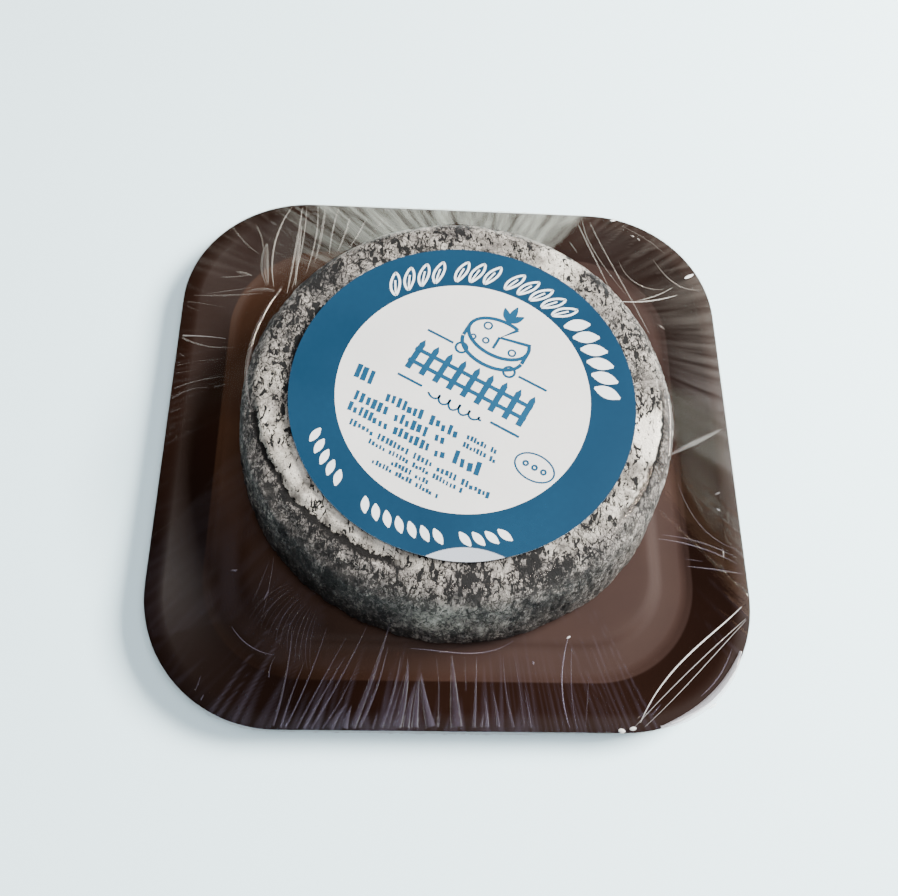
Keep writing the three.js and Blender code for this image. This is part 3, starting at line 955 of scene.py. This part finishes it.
def makeFilm():
    rows, slope, normals, lip = filmRows()
    rows, hazeAndGlare, place = pleated(rows, slope, normals, lip)
    height, width = slope.shape
    piece, flat = addGrid(width, height - 1)
    mesh = piece.data
    column = np.rint((flat[:, 0] + 0.5) * width).astype(int) % width
    row = np.rint((0.5 - flat[:, 1]) * (height - 1)).astype(int)
    points = rows[row, column]
    movePoints(mesh, points)
    run = np.cumsum(np.linalg.norm(np.diff(rows, axis=0, prepend=rows[:1]), axis=2), axis=0)[row, column]
    active = np.where((slope > 0) & (slope < 2), np.minimum(slope, 1), 0)[row, column]
    angle = np.degrees(np.arctan2(points[:, 1] - film["axis"][1], points[:, 0] - film["axis"][0]))
    drape = np.column_stack([place[row, column], run, byAngle(wrinkleBy, angle) * (0.25 + 0.75 * active)])
    # folds that run outward change how clearly the film mirrors and how strong its painted reflection is
    streaks = noiseOver(drape * (0.7, 0.03, 0), 1.0, 3, 83.0)
    polish = byAngle(polishBy, angle) * np.where(active > 0.02, 1, 0.25)
    polish *= np.clip(1 + byAngle(streakBy, angle) * streaks, 0.1, 2)
    # painted reflection: a pale haze round the edge, in soft patches and on flat facets
    paintedReflection = byAngle(reflectionHazeBy, angle) * active * np.clip(1 + streaks, 0.3, 2)
    outside = points[:, 2] > film["veilAbove"]
    for x, y, spreadX, spreadY, turn, amount in veils:
        local = (points[:, :2] - (x, y)) @ rotation(turn)
        inside = ((np.abs(local) / (spreadX, spreadY)) ** 4).sum(1)
        paintedReflection = np.maximum(paintedReflection, amount * np.exp(-inside) * outside)
    for amount, outline in facets:
        facet = insideOf(outline, points[:, :2]) & outside
        paintedReflection = np.maximum(paintedReflection, amount * facet * np.clip(1 + 1.2 * streaks, 0.3, 2))
    addLayer(mesh, "drape", drape)
    addLayer(mesh, "hazeAndGlare", np.clip(hazeAndGlare[row, column] + paintedReflection, 0, 1))
    addLayer(mesh, "polish", polish)
    openAll()
    bpy.ops.mesh.remove_doubles(threshold=0.00001 * mm)
    bpy.ops.mesh.normals_make_consistent(inside=False)
    bpy.ops.object.mode_set(mode="OBJECT")
    bpy.ops.object.shade_smooth()
    tree = BVHTree.FromObject(piece, bpy.context.evaluated_depsgraph_get())
    joinAll([crease(tree, name, *entry) for name, group in creases.items() for entry in group], piece)
    return finishPiece(piece, "stretch_film_wrap", filmMaterial(), "film", "stretch_film")


def addGrid(columns, rows):
    # a flat grid one metre wide, to be shaped by formula, and where its points lie
    calm()
    bpy.ops.mesh.primitive_grid_add(x_subdivisions=columns, y_subdivisions=rows, size=1)
    piece = bpy.context.object
    return piece, pointsOf(piece.data)


def rotation(turn):
    angle = math.radians(turn)
    return np.array([[math.cos(angle), -math.sin(angle)], [math.sin(angle), math.cos(angle)]])


def curveThrough(path, steps):
    # even points along a smooth line through the given ones
    path = np.array(path, dtype=float)
    knots = np.concatenate([[0], np.cumsum(np.linalg.norm(np.diff(path, axis=0), axis=1))])
    if len(path) > 2:
        fit = np.polyfit(knots, path, 2 if len(path) < 5 else 3)
        where = np.linspace(0, knots[-1], steps)
        return np.stack([np.polyval(fit[:, i], where) for i in range(path.shape[1])], 1)
    return path[0] + (path[-1] - path[0]) * np.linspace(0, 1, steps)[:, None]


def leafShape(t, power):
    # width along a strip that is pointed at both ends
    return np.sin(np.pi * np.clip(t, 0.03, 0.97)) ** power


def makeStrip(path, width, across, crown, taper):
    # a narrow strip whose points are worked out from a flat grid: taper gives its width along the way
    steps = len(path)
    strip, flat = addGrid(steps - 1, across)
    index = np.rint((flat[:, 0] + 0.5) * (steps - 1)).astype(int)
    side = flat[:, 1] * 2
    ahead = np.gradient(path[:, :2], axis=0)
    ahead /= np.linalg.norm(ahead, axis=1)[:, None] + 1e-9
    left = np.stack([-ahead[:, 1], ahead[:, 0]], 1)
    half = width / 2 * taper(np.linspace(0, 1, steps))
    points = path[index].copy()
    points[:, :2] += left[index] * (half[index] * side)[:, None]
    points[:, 2] += crown * width * (half[index] / (width / 2)) * (1 - side ** 2)
    movePoints(strip.data, points)
    return strip


def crease(tree, group, width, whiteningAndGlare, path):
    length = sum(math.dist(a, b) for a, b in zip(path, path[1:]))
    line = curveThrough(path, max(5, int(length / creaseForm["step"])))
    heights = []
    for x, y in line:
        hit = tree.ray_cast(Vector((x, y, creaseForm["castFrom"])) * mm, Vector((0, 0, -1)))[0]
        heights.append(hit.z / mm if hit else (heights[-1] if heights else 7.0))
    line = np.column_stack([line, np.array(heights) + creaseForm["lift"]])
    # pleats at the front and left widen to the lip, other creases are pointed at both ends
    wedge = group in ("front", "left")
    taper = (lambda t: 1.25 * (1.02 - t) ** 0.8) if wedge else (lambda t: leafShape(t, 0.5))
    # creases listed near 1 go fully white: painted glints
    amount = creasePaleness.get(group, 0.15) * whiteningAndGlare + 0.5 * whiteningAndGlare ** 10
    if wedge and width > 0.75:
        width, amount = width * 1.6, amount * 0.85
    strip = makeStrip(line, width * creaseForm["narrow"], 6, creaseForm["rise"], taper)
    count = len(strip.data.vertices)
    addLayer(strip.data, "hazeAndGlare", np.full(count, amount))
    addLayer(strip.data, "polish", np.full(count, 0.3 + whiteningAndGlare))
    for face in strip.data.polygons:
        face.use_smooth = True
    return strip


# how strongly the film is finely wrinkled: degrees round, how much
wrinkleBy = [(-180, 0.5), (-165, 0.35), (-135, 0.45), (-110, 0.9), (-90, 1.0), (-65, 0.6), (-45, 0.2),
             (-20, 0.3), (0, 0.12), (25, 0.07), (45, 0.12), (62, 0.25), (70, 0.45), (90, 0.45), (115, 0.8),
             (135, 0.9), (155, 0.5), (180, 0.5)]
# how clearly it mirrors: the angle it lies at in each place catches more or less of the room
polishBy = [(-180, 0.07), (-168, 0.08), (-150, 0.10), (-120, 0.08), (-90, 0.12), (-62, 0.25), (-45, 0.35),
            (-30, 0.35), (-22, 0.3), (-12, 0.14), (-9, 0.14), (-8, 0.32), (3, 0.32), (8, 0), (61, 0),
            (63, 1.1), (100, 0.95), (119, 0.95), (121, 0.35), (123, 0.35), (125, 0.9), (133, 0.8),
            (137, 0.2), (150, 0.14), (180, 0.08)]
# how much that changes from one fold to the next
streakBy = [(-180, 0.5), (-45, 0.4), (-20, 0.3), (0, 0.6), (35, 0.8), (60, 1.2), (75, 0.9), (100, 1.1),
            (125, 1.4), (150, 0.6), (180, 0.5)]
# painted reflection: how pale the film is made, round the edge
reflectionHazeBy = [(-180, 0), (-9, 0), (-8, 0.018), (2, 0.020), (8, 0.040), (36, 0.038), (38, 0.010), (60, 0.012),
           (180, 0)]
# painted reflection: pale places where the film mirrors the room: middle, half widths, turn, how much
veils = [(-37.5, 42.0, 5.5, 13.0, -4, 0.026), (-50.5, 47.0, 2.6, 8.5, -38, 0.012),
         (-42.6, -32, 2.0, 8.5, 4, 0.012)]
# painted reflection on flat facets where the film lies tight between folds: how pale, outline in mm, measured
# like the creases
facets = [
    (0.0055, [(-40.4, -10.6), (-44.4, -10.7), (-53.3, -19.7), (-59.5, -26.6), (-60.6, -34.5),
              (-56.9, -43.4), (-51.5, -42.6), (-41.3, -41.2), (-35.8, -37.9), (-31.4, -34.4),
              (-36.2, -28.0), (-39.4, -20.3)]),
    (0.0035, [(-41.3, -41.2), (-35.8, -37.9), (-31.0, -34.2), (-24.5, -40.0), (-22.5, -49.5),
              (-34.0, -48.5)]),
]


addFan()
makeFilm()
print("film")


# label: a round of coated paper stuck on the film, its front edge bent down

label = {
    "turn": -29.14,     # how far round the print sits
    "disc": 25.1,       # radius of the white middle
    "paper": 0.12,
    "printed": 0.015,   # how far the ink stands off
    "flap": (1.2, -30.0, 7.6, 1.9, 13.5),   # middle, fold line, half width, bow of the fold, fall in degrees
    # rows of short dashes stand in for small print: height, from, to, dash width, dash height
    "smallPrint": [(-8.2, -12.2, 4.3, 0.80, 2.1), (-11.0, -17.7, 3.4, 0.80, 2.1),
                   (-13.6, -17.5, 3.6, 0.72, 1.9), (-16.4, -15.6, 15.6, 0.55, 1.3),
                   (-18.1, -10.4, 9.9, 0.46, 1.05), (-19.8, -4.4, 3.9, 0.46, 1.05),
                   (-21.3, -7.7, 6.8, 0.46, 1.05), (-7.7, 5.3, 12.0, 0.46, 1.1), (-9.5, 5.4, 12.6, 0.46, 1.1),
                   (-12.6, 5.3, 12.0, 0.95, 2.8), (-6.2, -20.2, -16.0, 0.95, 3.0)],
    # leaves on the band: first angle, how many, angle between, low, high, width, full or outlined, lean
    "garland": [(148.4, 4, 6.4, 26.1, 31.0, 2.1, False, 5), (119.5, 3, 6.4, 26.1, 31.0, 2.1, False, 5),
                (97.0, 5, 6.2, 26.1, 31.0, 2.1, False, 5), (64.5, 6, 6.6, 26.1, 31.0, 2.7, True, 5),
                (-132.0, 5, -4.75, 28.6, 31.3, 1.55, True, -4),
                (-98.75, 7, -4.75, 28.6, 31.3, 1.55, True, -4),
                (-60.75, 4, -4.75, 28.6, 31.3, 1.55, True, -4)],
}


def paperMaterial(name, tone, shade, roughness=0.13):
    # coated stock: even colour with faint fibre mottle under a soft satin gloss
    material, node = newMaterial(name)
    place = node("TexCoord").outputs["Object"]
    fibre = node("TexNoise", {"Vector": place, "Scale": 900, "Detail": 4})
    cloud = node("TexNoise", {"Vector": place, "Scale": 45, "Detail": 2})
    mottle = node("Math", [fibre, 0.3, 0.35], operation="MULTIPLY_ADD")
    mottle = node("Math", [mottle, cloud], operation="MULTIPLY")
    color = node("ValToRGB", [mottle], [(0.15, shade), (0.36, tone)])
    bump = node("Bump", {"Height": fibre, "Strength": 0.05, "Distance": 0.04 * mm})
    shader = node("BsdfPrincipled", {"Base Color": color, "Roughness": roughness, "IOR": 1.55,
                                     "Specular IOR Level": 1.0, "Normal": bump})
    node("OutputMaterial", {"Surface": shader})
    return material


def flapDrop(points):
    # how far the bent front edge falls below the flat, for places in mm
    middle, fold, half, bow, fall = label["flap"]
    edge = fold - bow * ((points[:, 0] - middle) / half) ** 2
    depth = np.clip(edge - points[:, 1], 0, None) * (np.abs(points[:, 0] - middle) < half)
    return math.tan(math.radians(fall)) * depth


def makeLabel():
    middle, size = middleOf("label")
    radius, top = size.x / 2, middle.z + size.z / 2
    calm()
    bpy.ops.mesh.primitive_circle_add(vertices=640, radius=radius, fill_type="NGON",
                                      location=(middle.x, middle.y, top))
    piece = bpy.context.object
    settle(piece)
    openAll()
    # fine rings for the flap to bend along, then one at the edge of the disc
    rings = [0.2] * 19 + [1.3, 1.8]
    for step in rings + [radius / mm - sum(rings) - label["disc"], 8, 8]:
        bpy.ops.mesh.inset(thickness=step * mm)
    bpy.ops.object.mode_set(mode="OBJECT")
    mesh = piece.data
    axis = np.array([middle.x, middle.y]) / mm
    blue = paperMaterial("label_coated_paper_blue", "#153349", "#122D42")
    white = paperMaterial("label_coated_paper_white", "#D2D1CE", "#C8C8C6")
    edge = paperMaterial("label_cut_paper_edge", "#C9D3D9", "#AEBBC4", 0.6)
    for material in (blue, white, edge):
        mesh.materials.append(material)
    for face in mesh.polygons:
        away = math.dist((face.center.x / mm, face.center.y / mm), axis)
        face.material_index = 1 if away < label["disc"] else 0
    points = pointsOf(mesh) / mm
    points[:, 2] -= flapDrop(points)
    movePoints(mesh, points)
    applyModifier(piece, "SOLIDIFY", thickness=label["paper"] * mm, offset=-1, material_offset_rim=2)
    bpy.ops.object.shade_smooth_by_angle(angle=math.radians(35))
    finishPiece(piece, "label_paper", None, "label_paper", "label")
    printLabel(middle, top)


def printLabel(middle, top):
    # generic decoration in the label's own mm, turned with the label
    turned = rotation(-label["turn"])
    axis = np.array([middle.x, middle.y]) / mm
    inks = {"blue": [], "white": []}

    def ink(colour, path, width, taper=None, steps=None):
        path = np.array(path, dtype=float)
        if steps:
            path = curveThrough(path, steps)
        flat = path @ turned + axis
        layer = label["printed"] + 0.0013 * (len(inks[colour]) % 29)
        lifted = np.column_stack([flat, np.full(len(flat), top / mm + layer)])
        lifted[:, 2] -= flapDrop(lifted)
        full = lambda t: np.ones(len(t))
        strip = makeStrip(lifted, width, 1, 0.0, taper or full)
        inks[colour].append(strip)

    def ring(x, y, radius, width, start=0, end=360, squash=1.0, turn=0.0):
        angles = np.radians(np.linspace(start, end, 33))
        path = np.stack([radius * np.cos(angles), radius * squash * np.sin(angles)], 1) @ rotation(-turn)
        ink("blue", path + (x, y), width)

    def leaf(angle, low, high, width, solid, lean):
        t = np.linspace(0, 1, 13)
        turn = np.radians(angle - lean * (t - 0.5))
        away = low + (high - low) * t
        spine = np.stack([away * np.cos(turn), away * np.sin(turn)], 1)
        if solid:
            ink("white", spine, width, lambda t: leafShape(t, 0.7))
            return
        side = np.stack([-np.sin(turn), np.cos(turn)], 1) * (width / 2 * np.sin(np.pi * t) ** 0.7)[:, None]
        ink("white", np.concatenate([spine + side, (spine - side)[::-1]]), 0.5)
        ink("white", spine[1:9], 0.38)

    # a farm fence in the place of a title
    for i in range(9):
        x = -12.4 + i * 3.1
        ink("blue", [(x, -0.7), (x, 5.6)], 1.25)
        ink("blue", [(x, 5.55), (x, 6.7)], 1.25, lambda t: 1 - t * 0.96)
    for y in (1.2, 4.1):
        ink("blue", [(-13.2, y), (13.1, y)], 0.85)
    # rules above and below it
    for y, spans in ((9.0, ((-13.2, -7.3), (7.5, 13.8))), (-2.75, ((-13.3, -7.8), (7.4, 13.7)))):
        for a, b in spans:
            ink("blue", [(a, y), (b, y)], 0.5)
    # a cut cheese: round, wedge taken out, small holes
    ring(0.1, 14.6, 6.6, 0.75, 68, 382, 0.62)
    ring(0.1, 11.9, 6.6, 0.75, 184, 356, 0.62)
    for x in (-6.5, 6.7):
        ink("blue", [(x, 14.7), (x, 11.8)], 0.75)
    ink("blue", [(2.6, 18.4), (0.1, 14.9), (6.5, 16.4)], 0.7)
    ink("blue", [(0.1, 15.0), (0.1, 12.0)], 0.6)
    for x, y, r in ((-3.2, 16.2, 0.8), (-2.0, 12.9, 0.6), (3.9, 13.0, 0.7), (-4.6, 12.4, 0.5)):
        ring(x, y, r, 0.4)
    for x in (-5.4, 5.4):
        ring(x, 8.9, 1.15, 0.5)
    # a sprig on top of it
    for lean, tall in ((-38, 3.6), (0, 4.3), (38, 3.6)):
        tip = np.array([math.sin(math.radians(lean)), math.cos(math.radians(lean))]) * tall
        ink("blue", [(0, 18.9), tip * 0.5 + (0, 18.9), tip + (0, 18.9)], 1.5,
            lambda t: leafShape(t, 0.8), steps=9)
    # a scrolled line under it
    t = np.linspace(0, 1, 60)
    swing = 0.95 * np.cos(t * 34) * np.sin(np.pi * t) ** 0.5
    ink("blue", np.stack([-6 + 12 * t - 0.5 * np.sin(t * 34), -3.4 + swing], 1), 0.42)
    dice = random.Random(7)
    for y, start, end, width, tall in label["smallPrint"]:
        x, run = start, 0
        while x < end - width:
            high = tall * dice.choice((1.0, 1.0, 0.8, 0.62))
            low = y - tall / 2 + (tall - high) * dice.choice((0, 0, 0.5))
            ink("blue", [(x + 0.1 * tall, low), (x - 0.1 * tall, low + high)], width * dice.uniform(0.8, 1.2))
            x += width * dice.uniform(1.45, 1.75)
            run += 1
            if run >= dice.choice((5, 6, 7, 8)):
                x, run = x + width * 1.5, 0
    # an oval mark with plain dots
    ring(19.2, -6.9, 4.0, 0.35, squash=0.68)
    for x, y in ((17.3, -6.9), (19.2, -6.9), (21.1, -6.9)):
        ring(x, y, 0.45, 0.4)
    # garland on the band
    for start, count, gap, *shape in label["garland"]:
        for i in range(count):
            leaf(start - i * gap, *shape)
    for colour, tone, shade in (("blue", "#1B4560", "#183D57"), ("white", "#D6D9DA", "#CCD0D2")):
        piece = inks[colour][0]
        joinAll(inks[colour], piece)
        openAll()
        bpy.ops.mesh.normals_make_consistent(inside=False)
        bpy.ops.object.mode_set(mode="OBJECT")
        for face in piece.data.polygons:
            if face.normal.z < 0:
                face.flip()
        material = paperMaterial(f"label_ink_{colour}", tone, shade)
        finishPiece(piece, f"label_print_{colour}", material, "label_paper")


makeLabel()
print("label")
